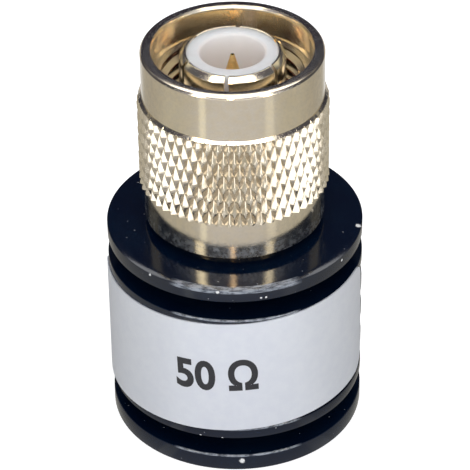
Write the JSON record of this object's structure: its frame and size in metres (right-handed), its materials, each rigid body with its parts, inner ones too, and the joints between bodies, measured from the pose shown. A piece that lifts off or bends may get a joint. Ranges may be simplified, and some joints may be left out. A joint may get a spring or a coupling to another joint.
{
  "type": "coaxial terminator",
  "caption": "Coaxial load on a finned black heat sink, with a knurled threaded coupling nut, a slotted outer contact, a white insulator and a gold centre pin.",
  "frame": {"origin": "centre of the heat sink's flat base", "axes": "+Z along the connector's axis, out of the plug's mouth; -Y is the side that the label faces"},
  "size_m": [0.0201, 0.0201, 0.033],
  "materials": {
    "black_anodised_aluminium": "turned and anodised, blue-black, satin",
    "silver_foil_label": "silver-white satin foil",
    "nickel_plate": "bright nickel plate over brass, slightly warm",
    "spring_bronze": "phosphor bronze, bare",
    "silicone_rubber": "brown-red silicone, matt",
    "white_ptfe": "white, slightly translucent, matt",
    "gold_plate": "gold plate over brass, bright",
    "alumina_ceramic": "fired ceramic with a thin film, matt",
    "tin_plate": "tin plated steel, satin",
    "bare_brass": "turned brass, bare"
  },
  "bodies": {
    "base": {"heat_sink": "black_anodised_aluminium", "label": "silver_foil_label", "connector_shell": "nickel_plate", "outer_contact": "nickel_plate", "gasket": "silicone_rubber", "front_insulator": "white_ptfe", "rear_insulator": "white_ptfe", "centre_pin": "gold_plate", "resistor_rod": "alumina_ceramic", "resistor_front_cap": "tin_plate", "resistor_rear_cap": "tin_plate", "ground_collet": "bare_brass", "matching_sleeve": "bare_brass"},
    "ring": {"nut_snap_ring": "spring_bronze"},
    "nut": {"coupling_nut": "nickel_plate"}
  },
  "joints": [
    {"name": "ring_float", "type": "slide", "parent": "base", "child": "ring", "axis": [0, 0, 1], "range_m": [0, 0.0003]},
    {"name": "nut_turn", "type": "hinge", "parent": "ring", "child": "nut", "pos_m": [0, 0, 0.0209], "axis": [0, 0, 1], "continuous": true}
  ]
}
